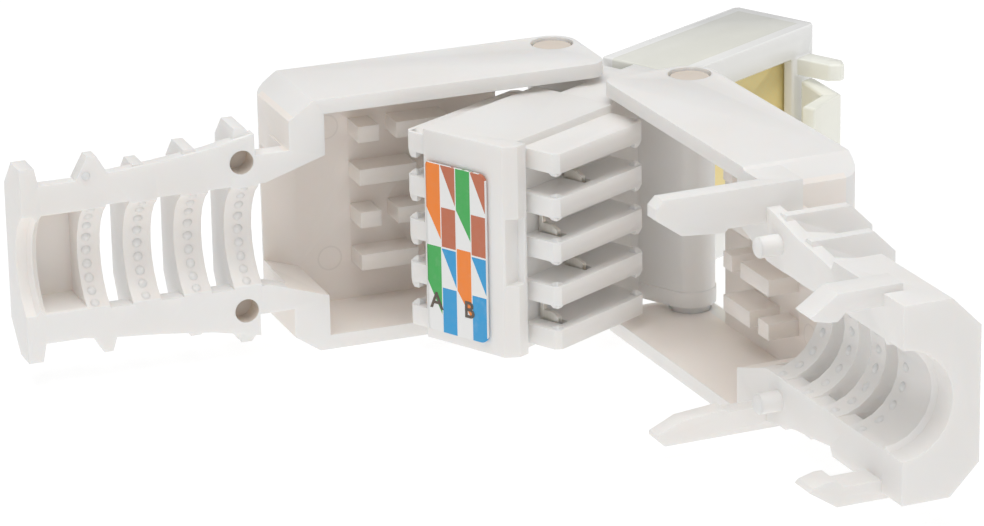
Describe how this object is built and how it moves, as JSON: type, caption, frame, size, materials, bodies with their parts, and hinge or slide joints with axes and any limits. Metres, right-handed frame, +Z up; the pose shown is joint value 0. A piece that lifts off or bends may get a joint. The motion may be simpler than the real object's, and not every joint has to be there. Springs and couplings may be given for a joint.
{
  "type": "field termination ethernet plug",
  "caption": "Open tool-less network plug: clear nose with contacts and sprung latch, white wire block with forked blades, and hinged half shells with ribbed cable grips.",
  "frame": {"origin": "middle of the open plug's outline seen from above, on the surface it stands on", "axes": "+Y is the direction of mating, +X is the side of the latch, +Z is up"},
  "size_m": [0.0534, 0.0454, 0.0142],
  "materials": {
    "white_plastic": "satin moulded",
    "clear_plastic": "clear moulded",
    "blade_metal": "tin plated",
    "contact_gold": "gold plated",
    "board_yellow": "bare laminate",
    "label_print": "printed colour fields"
  },
  "bodies": {
    "plug": {"wire_block": "white_plastic", "clear_housing": "clear_plastic", "circuit_board": "board_yellow", "wiring_label": "label_print", "contact_1": "contact_gold", "contact_2": "contact_gold", "contact_3": "contact_gold", "contact_4": "contact_gold", "contact_5": "contact_gold", "contact_6": "contact_gold", "contact_7": "contact_gold", "contact_8": "contact_gold", "idc_blade_1": "blade_metal", "idc_blade_2": "blade_metal", "idc_blade_3": "blade_metal", "idc_blade_4": "blade_metal", "idc_blade_5": "blade_metal", "idc_blade_6": "blade_metal", "idc_blade_7": "blade_metal", "idc_blade_8": "blade_metal"},
    "left_half": {"left_shell": "white_plastic"},
    "right_half": {"right_shell": "white_plastic"},
    "latch": {"latch_tab": "clear_plastic"}
  },
  "joints": [
    {"name": "left_shell_hinge", "type": "hinge", "parent": "plug", "child": "left_half", "pos_m": [-0.01213, 0.00744, 0.0071], "axis": [0, 0, -1], "range_deg": [-28.9, 46.1]},
    {"name": "right_shell_hinge", "type": "hinge", "parent": "plug", "child": "right_half", "pos_m": [-0.00253, 0.00744, 0.0071], "axis": [0, 0, 1], "range_deg": [-63.6, 11.4]},
    {"name": "latch_flex", "type": "hinge", "parent": "plug", "child": "latch", "pos_m": [-0.00493, 0.02174, 0.0071], "axis": [0, 0, -1], "range_deg": [0, 10], "stiffness_Nm_per_rad": 0.02}
  ]
}
